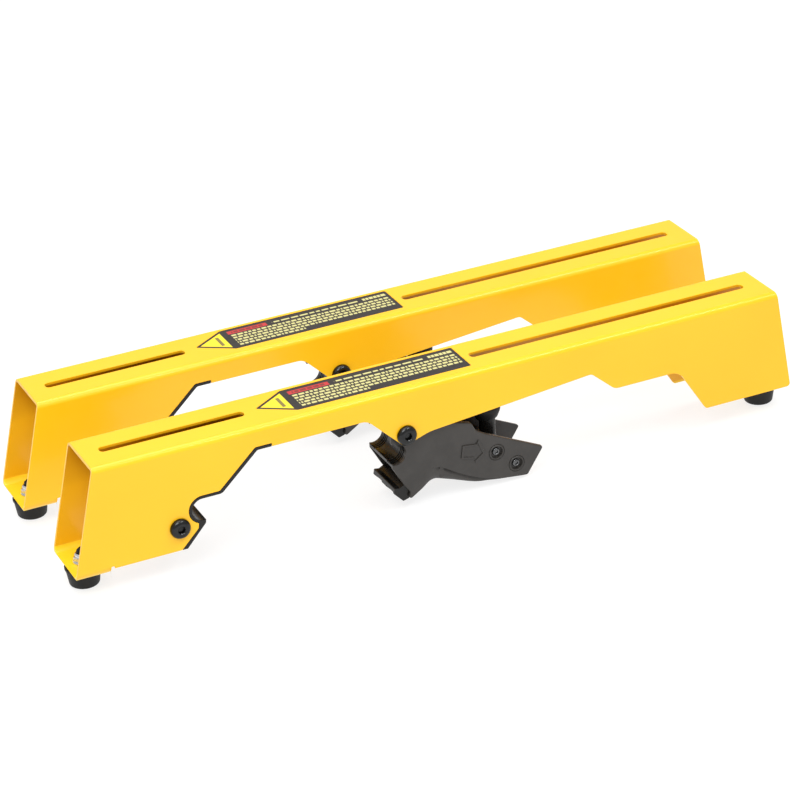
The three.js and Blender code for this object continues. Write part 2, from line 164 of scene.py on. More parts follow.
def turned(profile, axis="Z", sides=48):
    """A closed profile of (radius, height) turned about an axis through the origin."""
    verts, rings = [], []
    for radius, height in profile:
        if radius == 0:
            rings.append([len(verts)] * sides)
            verts.append((0, 0, height))
            continue
        rings.append(list(range(len(verts), len(verts) + sides)))
        verts += [(x, y, height) for x, y in circle((0, 0), radius, sides)]
    faces = []
    closed = profile[0] != profile[-1] and profile[0][0] > 0
    pairs = list(zip(rings, rings[1:] + rings[:1])) if closed else list(zip(rings, rings[1:]))
    for lower, upper in pairs:
        for k in range(sides):
            corner = [lower[k], lower[(k + 1) % sides], upper[(k + 1) % sides], upper[k]]
            face = list(dict.fromkeys(corner))
            if len(face) > 2:
                faces.append(face)
    mesh = closed_mesh(verts, faces)
    if axis == "Y":
        mesh.transform(Matrix.Rotation(-math.pi / 2, 4, "X"))
    return mesh


def threaded(radius, pitch, low, high, axis="Z", sides=24):
    """A rod with a real helical thread between two heights."""
    per_turn = 6
    depth = 0.55 * pitch
    rows = round((high - low) / pitch * per_turn)
    verts, faces = [], []
    for row in range(rows + 1):
        height = low + (high - low) * row / rows
        for k in range(sides):
            phase = (height / pitch - k / sides) % 1
            r = radius - depth * abs(2 * phase - 1)
            angle = 2 * math.pi * k / sides
            verts.append((r * math.cos(angle), r * math.sin(angle), height))
    for row in range(rows):
        for k in range(sides):
            a, b = row * sides + k, row * sides + (k + 1) % sides
            faces.append((a, b, b + sides, a + sides))
    faces += [tuple(range(sides)), tuple(range(rows * sides, (rows + 1) * sides))]
    mesh = closed_mesh(verts, faces)
    if axis == "Y":
        mesh.transform(Matrix.Rotation(-math.pi / 2, 4, "X"))
    return mesh


def moved(mesh, x=0, y=0, z=0):
    mesh.transform(Matrix.Translation((x, y, z)))
    return mesh


def combine(operation, base, *tools):
    """A closed mesh with closed tools cut from it, joined to it or kept in common."""
    link = bpy.context.scene.collection.objects.link
    target = bpy.data.objects.new("target", base)
    link(target)
    helpers = []
    for tool in tools:
        helper = bpy.data.objects.new("tool", tool)
        link(helper)
        helpers.append(helper)
        modifier = target.modifiers.new("combine", "BOOLEAN")
        modifier.operation = operation
        modifier.object = helper
        modifier.solver = "MANIFOLD"
    view = bpy.context.evaluated_depsgraph_get()
    result = bpy.data.meshes.new_from_object(target.evaluated_get(view))
    for item in [target, *helpers]:
        bpy.data.objects.remove(item)
    return result


def cut(base, *tools):
    return combine("DIFFERENCE", base, *tools)


def join(base, *tools):
    return combine("UNION", base, *tools)


def flattened(mesh, angle=math.radians(0.3)):
    """Merges faces that lie in one plane, so that bevels run clean."""
    shape = bmesh.new()
    shape.from_mesh(mesh)
    bmesh.ops.remove_doubles(shape, verts=shape.verts, dist=2e-3)
    bmesh.ops.dissolve_limit(shape, angle_limit=angle, verts=shape.verts, edges=shape.edges)
    shape.to_mesh(mesh)
    shape.free()
    return mesh


def softened(mesh, width, segments=2, angle=35):
    """Rounds the sharp edges of a mesh, after merging its flat faces."""
    flattened(mesh)
    item = bpy.data.objects.new("soft", mesh)
    bpy.context.scene.collection.objects.link(item)
    bevel = item.modifiers.new("bevel", "BEVEL")
    bevel.width = width
    bevel.segments = segments
    bevel.limit_method = "ANGLE"
    bevel.angle_limit = math.radians(angle)
    bevel.use_clamp_overlap = False
    bevel.miter_outer = "MITER_ARC"
    view = bpy.context.evaluated_depsgraph_get()
    result = bpy.data.meshes.new_from_object(item.evaluated_get(view))
    bpy.data.objects.remove(item)
    return result


# ---- channel ---------------------------------------------------------------
def hook_corners(clearance):
    """The hook's edge, from the wall's bottom round the rail's seat to the neck."""
    reach = LINER + clearance
    seat = RAIL_Z + RAIL_SEAT + reach
    return [
        (64.7, WALL_BOTTOM), (79.8, 36.8, 2), (81, 46), (HOOK_RAIL_X, RAIL_Z),
        (HOOK_RAIL_X, seat), (99.8, seat, 3.5), (131.8, 90.6 + reach, 3), (145.8, 90.6 + reach),
    ]


def channel_side():
    """The wall's outline: hook, neck, jaw space, rear arch and sloped ends."""
    step = PLATE_END + RELIEF / 2
    return rounded([
        (-(TOP_HEIGHT - PLATE_BOTTOM) * END_SLOPE, PLATE_BOTTOM, 3),
        (step, PLATE_BOTTOM), (step, WALL_BOTTOM),
        *hook_corners(0),
        (145.8, 90.5), (226.8, 90.5, 12), (256, 61.3, 4), (263, 62, 5), (280, 67.4, 30),
        (425.5, 80.4, 6), (446.5, 61.8, 9), (506, 61.8, 14), (531.3, WALL_BOTTOM, 3),
        (TOP_LENGTH + 12.6, WALL_BOTTOM, 3), (TOP_LENGTH, TOP_HEIGHT), (0, TOP_HEIGHT),
    ])


def tube_section(low, open_bottom):
    """The sheet's section: walls and top, with the folded bottom where it has one."""
    top, inner = TOP_HEIGHT, BEND - SHEET
    roof = [(-INSIDE, top - SHEET, inner), (INSIDE, top - SHEET, inner)]
    ridge = [(HALF, top, BEND), (-HALF, top, BEND)]
    if open_bottom:
        return prism(rounded([
            (-HALF, low), (-INSIDE, low), *roof, (INSIDE, low), (HALF, low), *ridge,
        ]), "X", PLATE_END - 1, TOP_LENGTH + 20)
    outer = rounded([(-HALF, low, PLATE_BEND), (HALF, low, PLATE_BEND), *ridge])
    floor, bend = low + SHEET, PLATE_BEND - SHEET
    hollow = rounded([(INSIDE, floor, bend), (-INSIDE, floor, bend), *roof])
    return cut(prism(outer, "X", -30, PLATE_END + RELIEF / 2),
               prism(hollow, "X", -40, PLATE_END + 10))


def slot_hole(x0, x1):
    half = SLOT_WIDTH / 2
    fillet = half * 0.8
    corners = [(x0, -half, fillet), (x1, -half, fillet), (x1, half, fillet), (x0, half, fillet)]
    return prism(rounded(corners), "Z", TOP_HEIGHT - 6, TOP_HEIGHT + 6)


def label_outline(margin):
    """The arrow-ended strip of the label, grown by a margin."""
    low, high = LABEL_MIDDLE - LABEL_HALF - margin, LABEL_MIDDLE + LABEL_HALF + margin
    end = LABEL_END + margin
    return rounded([
        (LABEL_TIP - 1.5 * margin, LABEL_MIDDLE, 1.2), (LABEL_SHOULDER, low, 2),
        (end, low, 1.5), (end, high, 1.5), (LABEL_SHOULDER, high, 2),
    ])


def channel():
    """The folded and cut sheet, with the notch and the label's field cut last."""
    across = (-HALF - OUT, HALF + OUT)
    rear_plate = prism([
        (574, -INSIDE - 1), (620, -INSIDE - 1), (620, INSIDE + 1), (574, INSIDE + 1),
    ], "Z", WALL_BOTTOM, WALL_BOTTOM + SHEET)
    folded = join(tube_section(PLATE_BOTTOM, False), tube_section(WALL_BOTTOM, True), rear_plate)
    body = combine("INTERSECT", folded, prism(channel_side(), "Y", *across))
    tools = [bar((HOOK_RAIL_X, RAIL_Z), RAIL_SEAT + LINER, *across, ROUND)]
    tools += [slot_hole(*ends) for ends in SLOTS]
    tools += [bar(hole, CROSS_HOLE, *across) for hole in (HOOK_SCREW, PIVOT)]
    tools += [bar((x, 0), FOOT_HOLE, 10, 30, axis="Z") for x in (FRONT_FOOT_X, REAR_FOOT_X)]
    relief = rounded([(PLATE_END, -10), (PLATE_END + RELIEF, -10),
                      (PLATE_END + RELIEF, RELIEF_TOP, 0.8), (PLATE_END, RELIEF_TOP, 0.8)])
    return cut(
        softened(cut(body, *tools), 0.35), prism(relief, "Y", *across),
        prism(label_outline(FIT), "Z", TOP_HEIGHT - LABEL_RECESS, TOP_HEIGHT + 1))


def label():
    shape = prism(label_outline(0), "Z", TOP_HEIGHT - LABEL_RECESS + TOUCH / 2,
                  TOP_HEIGHT - TOUCH / 2)
    return softened(shape, 0.08, 1)


# ---- hook liner ------------------------------------------------------------
def hook_liner():
    """A moulded strip along the hook's edge, with an inner cheek beside each wall."""
    seat = RAIL_Z + RAIL_SEAT
    region = rounded([
        (60, WALL_BOTTOM), (69.4, WALL_BOTTOM, 0.8), (86.2, 39.8, 2), (86.8, 45),
        (HOOK_RAIL_X, RAIL_Z), (HOOK_RAIL_X, seat), (101.6, seat, 6), (133.5, 90.5, 3),
        (145.5, 90.5), (145.5, 93), (120, 98), (60, 80),
    ])
    edge = [(x + (FIT if z < RAIL_Z else 0), z, *r) for x, z, *r in hook_corners(-FIT)]
    behind = rounded([(50, WALL_BOTTOM - 5), (59.8, WALL_BOTTOM - 5), *edge, (145.8, 110),
                      (50, 110)])
    rail = (HOOK_RAIL_X, RAIL_Z)
    wall = cut(prism(behind, "Y", -HALF - 1, HALF + 1),
               bar(rail, RAIL_SEAT + LINER - FIT, -HALF - 2, HALF + 2, ROUND))
    body = cut(prism(region, "Y", -HALF, HALF), wall)
    cheek_area = [(50, 22.5), (112, 22.5), (112, 84), (50, 84)]
    inner, thick = INSIDE - FIT, 2
    for y0, y1 in [(-inner, thick - inner), (inner - thick, inner)]:
        cheek = combine("INTERSECT", prism(region, "Y", y0, y1),
                        prism(cheek_area, "Y", -HALF, HALF))
        body = join(body, cheek)
    body = cut(body, bar(rail, RAIL_SEAT, -HALF - 1, HALF + 1, ROUND),
               bar(HOOK_SCREW, TUBE_HOLE, -HALF, HALF))
    return softened(body, 0.3)


# ---- fasteners -------------------------------------------------------------
def dome(radius, height, steps=9):
    """Profile of a button head, from its flat crown down to its rim."""
    flat, rim = 0.47, 0.16
    points = [(0, -height), (radius * flat, -height)]
    for k in range(1, steps + 1):
        drop = k / steps * math.pi / 2
        points.append((radius * (flat + (1 - flat) * math.sin(drop)),
                       -height * (rim + (1 - rim) * math.cos(drop) ** 0.9)))
    return points


def button_screw(head, head_height, shank, length, key, key_depth, thread, pitch):
    """A button-head screw along +Y whose head bears on the plane y = 0."""
    profile = dome(head, head_height)
    profile += [(head, -0.25), (head - 0.25, 0), (shank, 0), (shank, thread), (0, thread)]
    body = turned(profile, "Y", 64)
    socket = prism(circle((0, 0), key, 6), "Y", -head_height - 1, -head_height + key_depth)
    chamfer = turned([(0, -head_height - 0.01), (key * 1.08, -head_height - 0.01),
                      (key * 0.85, -head_height + key * 0.22), (0, -head_height + key * 0.22)],
                     "Y", 48)
    body = cut(body, socket, chamfer)
    rod = threaded(shank, pitch, thread - 0.5, length, "Y")
    tip = turned([(0, thread - 1), (shank + 1, thread - 1), (shank + 1, length - 1.2),
                  (shank - 1.3, length), (0, length)], "Y", 48)
    return join(body, combine("INTERSECT", rod, tip))


def hex_nut(radius, height, bore, flange=0.0, axis="Y"):
    """A chamfered hexagon nut from 0 to its height, with a flange if it has one."""
    body = prism(circle((0, 0), radius, 6), "Z", 0, height)
    flat = radius * math.cos(math.pi / 6)
    lift = (radius - flat) * 0.6
    crown = turned([(0, 0), (flat * 0.98, 0), (radius + 0.2, lift),
                    (radius + 0.2, height - lift), (flat * 0.98, height), (0, height)], "Z", 72)
    body = combine("INTERSECT", body, crown)
    if flange:
        skirt = turned([(0, 0), (flange - 0.3, 0), (flange, 0.3), (flange, 0.9),
                        (radius * 0.95, 2), (0, 2)], "Z", 64)
        body = join(body, skirt)
    hole = turned([(0, -1), (bore + 0.9, -1), (bore + 0.9, 0), (bore, 0.8),
                   (bore, height - 0.8), (bore + 0.9, height), (bore + 0.9, height + 1),
                   (0, height + 1)], "Z", 40)
    body = softened(cut(body, hole), 0.12, 2, 28)
    if axis == "Y":
        body.transform(Matrix.Rotation(-math.pi / 2, 4, "X"))
    return body


def lock_nut(radius, height, bore):
    """A hexagon nut on a small flange, with a rounded collar above its hexagon."""
    waist = height * 0.68
    collar_radius = radius * 0.76
    body = hex_nut(radius * 0.95, waist, bore, radius, "Z")
    collar = turned([(bore, waist - 1), (collar_radius, waist - 1), (collar_radius, height - 1.3),
                     (collar_radius - 0.4, height - 0.5), (collar_radius - 1.2, height),
                     (bore + 0.3, height), (bore, height - 0.3)], "Z", 56)
    return join(body, collar)


def tube(bore, outside, low, high):
    """A plain tube along Y with its four rims broken."""
    edge = 0.35
    return turned([
        (bore + edge, low), (outside - edge, low), (outside, low + edge),
        (outside, high - edge), (outside - edge, high), (bore + edge, high),
        (bore, high - edge), (bore, low + edge),
    ], "Y", 56)


# ---- feet ------------------------------------------------------------------
def foot(height):
    """A tapered rubber foot with a rounded tread, a lip at the top and a screw recess."""
    base, edge = 12.2, 2.5
    top = base + 0.17 * (height - edge)
    arc = [(base - edge + edge * math.sin(t), edge - edge * math.cos(t))
           for t in [k * math.pi / 16 for k in range(8)]]
    profile = [(7.5, 0.4), (7.9, 0), *arc, (base + 0.07, edge + 0.4), (top - 0.75, height - 2.9)]
    profile += [(top - 0.6, height - 2.5), (top, height - 2.1), (top, height - 0.5),
                (top - 0.4, height), (FOOT_HOLE, height), (FOOT_HOLE, 7), (7.5, 7)]
    return turned(profile, "Z", 72)


def stud(top):
    """The foot's screw: a pan head in the rubber's recess and a threaded end above."""
    head = turned([(0, 2.9), (5.3, 2.9), (6.2, 3.3), (6.6, 4.1), (6.6, 6.9),
                   (STUD_RADIUS, 6.9), (STUD_RADIUS, 15), (0, 15)], "Z", 48)
    key = prism(circle((0, 0), 2.6, 6), "Z", 1, 5.2)
    rod = threaded(STUD_RADIUS, 1.25, 14.5, top)
    tip = turned([(0, 12), (5, 12), (5, top - 3.4), (1.5, top), (0, top)], "Z", 48)
    return join(cut(head, key), combine("INTERSECT", rod, tip))


# ---- lever -----------------------------------------------------------------
LEVER_OUTLINE = [
    (248, 39.6, 1), (257.8, 21.4, 4), (262.4, 15, 3), (260.2, 9, 1.5), (263.5, 9.8, 2),
    (282, 21.4, 12), (320, 7.8, 50), (366.8, 2.2, 2.5), (382, 24.4, 1.8),
    (330.5, 49.6, 4), (322.3, 54.8, 3), (318.5, 62.8, 6), (292, 70.3, 30), (269, 81.5, 10),
    (250, 81.5, 9), (247.8, 62.6, 1), (253, RAIL_Z), (248, 46),
]
POCKET_OUTLINE = [
    (235, -5), (268.5, -5), (268.5, 16.5), (282, 24.7, 9), (320, 11, 47),
    (366.8, 5.4), (400, 5.4), (400, 100), (235, 100),
]
CREASE = [(266, 22), (272, 26.2), (278, 29.4), (284, 31.3), (289.5, 30.9), (296.5, 26.4),
          (304, 21.5), (314, 16), (322.9, 11.9), (331.8, 8.7), (340.7, 6.3), (352, 4.2)]
EDGE_ROUND = 1.2  # radius along the cheek's edge
CREASE_STEP = 1.9  # depth of the step along the crease
ROLL_SLOPE, ROLL_LIMIT = 0.87, 4.5  # the cheek rolls inward below its crease
GRID, ROW_SHARE = 1.5, 0.87  # the cheek's points, in rows of triangles


def distance_to(points, path):
    """Distance of each point from a closed path."""
    path = np.array([tuple(p) for p in path])
    best = np.full(len(points), 1e9)
    for a, b in zip(path, np.roll(path, -1, axis=0)):
        along = b - a
        length = max(float(along @ along), 1e-12)
        t = np.clip((points - a) @ along / length, 0, 1)
        gap = np.linalg.norm(points - a - t[:, None] * along, axis=1)
        best = np.minimum(best, gap)
    return best


def inside(points, path):
    """Whether each point is inside a closed path, by the crossing rule."""
    path = np.array([tuple(p) for p in path])
    hit = np.zeros(len(points), bool)
    for (ax, ay), (bx, by) in zip(path, np.roll(path, -1, axis=0)):
        if ay == by:
            continue
        crosses = (points[:, 1] < ay) != (points[:, 1] < by)
        at = ax + (points[:, 1] - ay) * (bx - ax) / (by - ay)
        hit ^= crosses & (points[:, 0] < at)
    return hit


def smooth(t):
    """An eased step from 0 to 1."""
    t = np.clip(t, 0, 1)
    return t * t * (3 - 2 * t)


def cheek_inset(points, edge):
    """How far the cheek's outer face lies inside its flat plane at each point."""
    away = distance_to(points, edge)
    u = np.clip(1 - away / EDGE_ROUND, 0, 1)
    inset = EDGE_ROUND * (1 - np.sqrt(1 - u ** 2))
    crease = np.array(CREASE)
    x, z = points[:, 0], points[:, 1]
    line = np.interp(x, crease[:, 0], crease[:, 1])
    below = (line - z) * ROLL_SLOPE
    fade = smooth((x - 267) / 22) * smooth((354 - x) / 14)
    span = below + away
    share = np.clip(below / np.maximum(span, 0.5), 0, 1)
    roll = np.minimum(0.6 * span, ROLL_LIMIT) * (1 - np.sqrt(1 - 0.96 * share ** 2))
    groove = smooth(below / 0.35) * (1 - 0.9 * smooth((below - 0.35) / 3.6))
    groove *= CREASE_STEP * smooth((x - 281) / 9) * smooth(span / 3)
    return np.where(below > 0, np.maximum(inset, fade * roll + groove), inset)


def cheek_blank():
    """A solid half of the lever, from the parting plane to a sculpted outer face."""
    edge = rounded(LEVER_OUTLINE, math.radians(9))
    fine = []
    for i, a in enumerate(edge):
        b = edge[(i + 1) % len(edge)]
        pieces = max(1, round((b - a).length / (GRID * 1.2)))
        fine += [a.lerp(b, k / pieces) for k in range(pieces)]
    edge_points = np.array([tuple(p) for p in fine])
    count = len(fine)
    after = np.roll(edge_points, -1, axis=0) - np.roll(edge_points, 1, axis=0)
    inward = np.stack([-after[:, 1], after[:, 0]], axis=1)
    inward /= np.linalg.norm(inward, axis=1)[:, None]
    cloud = []
    for depth in (0.18, 0.5, 0.95, 1.5):
        ring = edge_points + inward * depth
        keep = inside(ring, fine) & (distance_to(ring, fine) > depth * 0.9)
        cloud += list(ring[keep])
    low, high = edge_points.min(0), edge_points.max(0)
    grid = np.array([
        (x + (GRID / 2 if row % 2 else 0), z)
        for row, z in enumerate(np.arange(low[1], high[1], GRID * ROW_SHARE))
        for x in np.arange(low[0], high[0], GRID)
    ])
    crease = np.array(CREASE)
    xs = np.arange(276, 354, 1.0)
    zs = np.interp(xs, crease[:, 0], crease[:, 1])
    for drop in (0.0, 0.4, 0.8, 1.3, 2.0):
        cloud += list(np.stack([xs, zs - drop], axis=1))
    near_crease = np.abs(np.interp(grid[:, 0], crease[:, 0], crease[:, 1]) - grid[:, 1]) < 2.4
    near_crease &= (grid[:, 0] > 275) & (grid[:, 0] < 355)
    keep = inside(grid, fine) & (distance_to(grid, fine) > 2.1) & ~near_crease
    cloud = np.array(cloud)
    cloud = cloud[inside(cloud, fine) & (distance_to(cloud, fine) > 0.15)]
    points = np.concatenate([edge_points, cloud, grid[keep]])
    found, _, triangles, sources, *_ = delaunay_2d_cdt(
        [Vector(p) for p in points], [], [tuple(range(count))], 1, 1e-4)
    flat = np.array([tuple(p) for p in found])
    inset = cheek_inset(flat, fine)
    order = {old: new for new, olds in enumerate(sources) for old in olds}
    rim = [order[i] for i in range(count)]
    verts = [(x, -LEVER_HALF + d, z) for (x, z), d in zip(flat, inset)]
    start = len(verts)
    verts += [(flat[i][0], -FIT / 2, flat[i][1]) for i in rim]
    faces = [tuple(f) for f in triangles]
    faces.append(tuple(range(start, start + count)))
    for i in range(count):
        j = (i + 1) % count
        faces.append((rim[i], rim[j], start + j, start + i))
    return closed_mesh(verts, faces)


def arrow_outline(grow=0.0):
    """The lifting direction, as a plain raised arrow on the cheek."""
    tip, wing_high, wing_low = (329.2, 32.6), (323.9, 46.4), (320.2, 26.2)
    neck_high, neck_low = (321.4, 43.0), (319.4, 30.6)
    tail_high, tail_low = (309.4, 44.6), (307.6, 33.4)
    points = [wing_high, tip, wing_low, neck_low, tail_low, tail_high, neck_high]
    middle = Vector((317.6, 37.2))
    return [middle + (Vector(p) - middle) * (1 + grow) for p in points]


def lever_half(side):
    """The near half (-1) has screw heads in its rings, the far half (1) has nuts."""
    body = cheek_blank()
    pocket = rounded(POCKET_OUTLINE, math.radians(5))
    body = cut(body, prism(pocket, "Y", -(LEVER_HALF - CHEEK), 1))
    spring_rib = [(289, 21), (292.5, 21), (292.5, 43.2), (289, 43.2)]
    lips, moats, bosses, holes = [], [], [], []
    sunk = HEAD_SINK if side < 0 else NUT_SINK
    for x, z in HANDLE_SCREWS:
        bosses.append(bar((x, z), HANDLE_BOSS, -LEVER_HALF + 1, -17))
        lip = turned([(4.6, LEVER_HALF - 1), (6.6, LEVER_HALF - 1), (6.6, LEVER_HALF + 0.1),
                      (6.3, LEVER_HALF + 0.5), (5.9, LEVER_HALF + 0.6), (5.5, LEVER_HALF + 0.4),
                      (5.3, LEVER_HALF), (4.6, LEVER_HALF)], "Y", 56)
        moat = turned([(6.6, LEVER_HALF - 0.5), (6.9, LEVER_HALF - 0.5), (7.5, LEVER_HALF + 0.4),
                       (6.6, LEVER_HALF + 0.4)], "Y", 56)
        for rings, item in ((lips, lip), (moats, moat)):
            item.transform(Matrix.Rotation(math.pi, 4, "Z"))
            rings.append(moved(item, x, 0, z))
        holes.append(bar((x, z), HEAD_HOLE, -30, -LEVER_HALF + sunk, 56))
        holes.append(bar((x, z), HANDLE_HOLE, -30, -10, 24))
    body = join(body, prism(spring_rib, "Y", -LEVER_HALF + 1, -FIT / 2), *bosses)
    raised = softened(prism(arrow_outline(), "Y", -LEVER_HALF - 1, -LEVER_HALF + 0.5), 0.3)
    hollow = prism(arrow_outline(-0.2), "Y", -LEVER_HALF - 1, -LEVER_HALF - 0.35)
    body = join(cut(body, *moats), cut(raised, hollow), *lips)
    holes.append(bar((JAW_RAIL_X, RAIL_Z), RAIL_SEAT, -30, 1, ROUND))
    holes.append(bar(PIVOT, TUBE_HOLE, -30, 1, 56))
    body = cut(body, *holes)
    if side > 0:
        body.transform(Matrix.Scale(-1, 4, (0, 1, 0)))
        body.flip_normals()
    return body


def clamp_jaw():
    """The insert that bears on the rail: a ribbed saddle above and a toe below."""
    reach = LEVER_HALF - CHEEK - FIT
    body = prism(rounded([
        (248, 46), (248, 40.6, 1), (250, 38.2, 1), (259.5, 37.6, 3), (262.5, 24, 2.5),
        (257.5, 21.4, 2), (253.8, 19.5, 1.5), (249.6, 20.3, 0.8), (248.7, 15.8, 1.2),
        (256.6, 7.2, 1.5), (261.5, 8.6, 1.5), (267.8, 14.2, 1), (268, 27, 2),
        (266.5, 54.5, 1), (257, 54.5, 1), (254, RAIL_Z),
    ]), "Y", -reach, reach)
    rail = (JAW_RAIL_X, RAIL_Z)
    tools = [bar(rail, RAIL_SEAT, -30, 30, ROUND)]
    groove = 1.2
    for start in (13.4, 15.9, 18.4):
        for side in (-1, 1):
            low, high = sorted((side * start, side * (start - groove)))
            tools.append(bar(rail, RAIL_SEAT + groove, low, high, ROUND))
    toe_recess = [(244, 15.5), (252.8, 17.6), (258.4, 11.6), (254, 4)]
    for side in (-1, 1):
        low, high = sorted((side * 4, side * 18.2))
        tools.append(prism(toe_recess, "Y", low, high))
    body = softened(cut(body, *tools), 0.25)
    pad_outline = [(250.4, 15.8), (254, 18), (259, 12), (255.8, 9.6)]
    pad = softened(prism(pad_outline, "Y", -16, -6), 0.9, 3)
    twin = pad.copy()
    twin.transform(Matrix.Translation((0, 22, 0)))
    return join(body, pad, twin)


def oval(profile, stretch):
    """A profile turned about Z and stretched along X."""
    mesh = turned(profile, "Z", 56)
    mesh.transform(Matrix.Scale(stretch, 4, (1, 0, 0)))
    return mesh


def stop_arm():
    """The block between the tail's screws, with the oval post of the bumper."""
    body = prism(rounded([
        (334.5, 27, 2), (338, 20, 3), (351, 10, 3), (360, 9.2, 3), (362.5, 20, 3),
        (352, 28, 3), (343, 36.5, 3), (335, 36, 3),
    ]), "Y", -16.5, 16.5)
    post = oval([(0, 24), (STOP_POST + 0.5, 24), (STOP_POST, 34), (STOP_POST, STOP_TOP - 0.6),
                 (STOP_POST - 0.5, STOP_TOP), (0, STOP_TOP)], STOP_STRETCH)
    tools = [bar(centre, HANDLE_HOLE, -20, 20, 24) for centre in HANDLE_SCREWS]
    return softened(cut(join(body, moved(post, STOP_X)), *tools), 0.4)


def stop_bumper():
    """The rubber cap that meets the top face when the lever is fully lifted."""
    cap = oval([(0, 50.5), (5, 50.5), (5.7, 50.7), (6.2, 51.4), (6.7, 53), (7.7, 56.3), (8, 58.5),
                (7.8, 60.4), (7, 61.6), (5.8, 62), (0, 62)], 1.5)
    bore = STOP_POST + FIT
    socket = oval([(0, 40), (bore, 40), (bore, STOP_TOP + FIT), (0, STOP_TOP + FIT)], 2)
    return moved(cut(cap, socket), STOP_X)


def lever_washer(side):
    """The washer between a cheek and the wall, with its rims broken."""
    low, high = LEVER_HALF + 2 * TOUCH, INSIDE - 2 * TOUCH
    outside, edge = 11, 0.3
    ring = turned([(TUBE_HOLE, low), (outside - edge, low), (outside, low + edge),
                   (outside, high - edge), (outside - edge, high), (TUBE_HOLE, high)], "Y", 56)
    if side < 0:
        ring.transform(Matrix.Rotation(math.pi, 4, "Z"))
    return moved(ring, PIVOT[0], 0, PIVOT[1])


# ---- spring ----------------------------------------------------------------
SPRING_RADIUS, WIRE, SPRING_PITCH = 9.3, 1.2, 3.2
UPPER_LEG, LOWER_LEG = 36, 42
COIL_FROM, COIL_TO = math.radians(150), math.radians(246) + 6 * math.pi


def spring_point(along):
    """The wire's middle, at a distance along the upper leg, the coil and the lower leg."""
    coil = (COIL_TO - COIL_FROM) * SPRING_RADIUS
    on_coil = min(max(along - UPPER_LEG, 0), coil)
    angle = COIL_FROM + on_coil / SPRING_RADIUS
    past = along - UPPER_LEG - on_coil
    width = (COIL_TO - COIL_FROM) / (2 * math.pi) * SPRING_PITCH
    return Vector((
        PIVOT[0] + SPRING_RADIUS * math.cos(angle) - past * math.sin(angle),
        width * (on_coil / coil - 0.5),
        PIVOT[1] + SPRING_RADIUS * math.sin(angle) + past * math.cos(angle),
    ))


def torsion_spring(sides=12, step=0.9):
    """Round wire along the coil and both legs, with ground ends."""
    total = UPPER_LEG + LOWER_LEG + (COIL_TO - COIL_FROM) * SPRING_RADIUS
    count = math.ceil(total / step)
    path = [spring_point(total * k / count) for k in range(count + 1)]
    verts, faces = [], []
    for k, here in enumerate(path):
        ahead = (path[min(k + 1, count)] - path[max(k - 1, 0)]).normalized()
        across = ahead.cross(Vector((0, 1, 0))).normalized()
        other = across.cross(ahead)
        radius = WIRE * (0.8 if k in (0, count) else 1)
        for s in range(sides):
            t = 2 * math.pi * s / sides
            verts.append(here + radius * (math.cos(t) * across + math.sin(t) * other))
    for k in range(count):
        for s in range(sides):
            a, b = k * sides + s, k * sides + (s + 1) % sides
            faces.append((a, b, b + sides, a + sides))
    faces += [tuple(range(sides)), tuple(range(count * sides, (count + 1) * sides))]
    return closed_mesh(verts, faces)


# ---- materials -------------------------------------------------------------
class Nodes:
    """A material's node tree, with short ways to add and link its nodes."""

    def __init__(self, name):
        self.material = bpy.data.materials.new(name)
        self.material.use_nodes = True
        self.tree = self.material.node_tree
        self.shader = self.tree.nodes["Principled BSDF"]
        place = self.add("ShaderNodeTexCoord")
        self.place = place.outputs["Object"]

    def add(self, kind, **settings):
        node = self.tree.nodes.new(kind)
        for key, value in settings.items():
            setattr(node, key, value)
        return node

    def feed(self, socket, value):
        if isinstance(value, bpy.types.NodeSocket):
            self.tree.links.new(value, socket)
        else:
            socket.default_value = value

    def math(self, operation, *values):
        node = self.add("ShaderNodeMath", operation=operation)
        for socket, value in zip(node.inputs, values):
            self.feed(socket, value)
        return node.outputs[0]

    def noise(self, scale, detail=3, roughness=0.5):
        node = self.add("ShaderNodeTexNoise")
        self.feed(node.inputs["Vector"], self.place)
        self.feed(node.inputs["Scale"], scale)
        self.feed(node.inputs["Detail"], detail)
        self.feed(node.inputs["Roughness"], roughness)
        return node.outputs["Fac"]

    def spread(self, value, low, high, start=0.3, end=0.7):
        """A value between start and end, spread out between low and high."""
        node = self.add("ShaderNodeMapRange")
        settings = zip(("Value", "From Min", "From Max", "To Min", "To Max"),
                       (value, start, end, low, high))
        for socket, setting in settings:
            self.feed(node.inputs[socket], setting)
        return node.outputs["Result"]

    def mix(self, factor, first, second):
        node = self.add("ShaderNodeMix", data_type="RGBA")
        for socket, value in ((0, factor), (6, first), (7, second)):
            self.feed(node.inputs[socket], value)
        return node.outputs[2]

    def bump(self, height, distance, strength=1.0, below=None):
        node = self.add("ShaderNodeBump")
        self.feed(node.inputs["Height"], height)
        self.feed(node.inputs["Distance"], distance)
        self.feed(node.inputs["Strength"], strength)
        if below is not None:
            self.feed(node.inputs["Normal"], below)
        return node.outputs["Normal"]

    def axes(self):
        """The place of a point along x, y and z, in metres."""
        split = self.add("ShaderNodeSeparateXYZ")
        self.feed(split.inputs[0], self.place)
        return split.outputs["X"], split.outputs["Y"], split.outputs["Z"]

    def finish(self, **sockets):
        """Sets the shader's sockets by name, a space for each underscore."""
        for name, value in sockets.items():
            self.feed(self.shader.inputs[name.replace("_", " ")], value)
        return self.material


def grey(value, warm=1.0):
    """A grey, tinted red when warm is over 1 and blue when it is under 1."""
    return (value * warm, value, value / warm, 1)


# The first two are the paint's own tones; the third is painted shade for the inside of the channel
# and the fourth painted light for its bottom plates.
PAINT_DEEP, PAINT_LIGHT = (0.94, 0.50, 0.004, 1), (0.97, 0.54, 0.007, 1)
PAINT_SHADE, PAINT_LIT = (0.46, 0.16, 0.001, 1), (1.0, 0.68, 0.02, 1)


